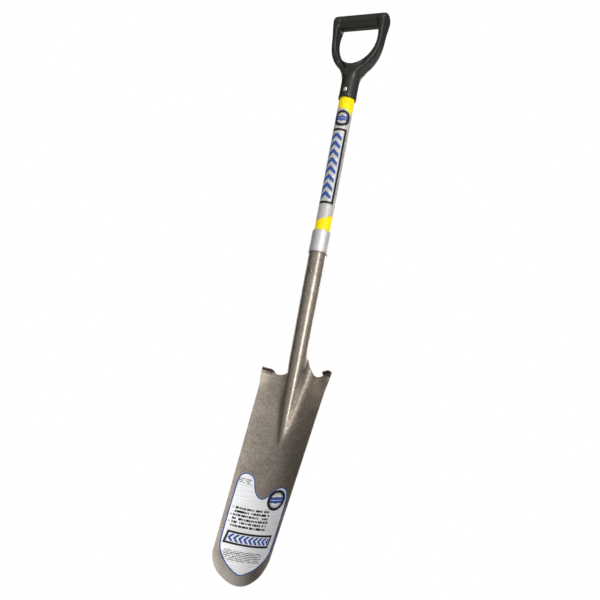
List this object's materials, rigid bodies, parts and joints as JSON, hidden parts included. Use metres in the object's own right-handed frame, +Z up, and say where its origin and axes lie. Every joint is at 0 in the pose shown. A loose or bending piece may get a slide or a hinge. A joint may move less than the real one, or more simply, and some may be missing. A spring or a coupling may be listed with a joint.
{
  "type": "post hole digging spade",
  "caption": "Long narrow hollow-faced digging spade for post holes, rolled socket, straight tube handle, D-grip.",
  "frame": {"origin": "centre of the footprint at the height of the blade's tip, the tool standing upright", "axes": "+Z up the blade's centre line from the tip, -Y out of the blade's hollow front face, +X to the right seen from the front"},
  "size_m": [0.1478, 0.1828, 1.1567],
  "materials": {
    "steel": "clear-coated, ground",
    "fibreglass": "glossy pultruded fibreglass",
    "hardwood": "raw dowel",
    "collar": "brushed",
    "rivet": "plain",
    "grip": "satin moulded",
    "sticker": "silver film"
  },
  "bodies": {
    "root": {"blade": "steel", "handle_tube": "fibreglass", "lower_plug": "hardwood", "upper_plug": "hardwood", "socket_collar": "collar", "socket_rivet": "rivet", "socket_rivet_burr": "rivet", "grip_rivet": "rivet", "grip_rivet_burr": "rivet", "d_grip": "grip", "blade_label": "sticker", "handle_label": "sticker"}
  },
  "joints": []
}
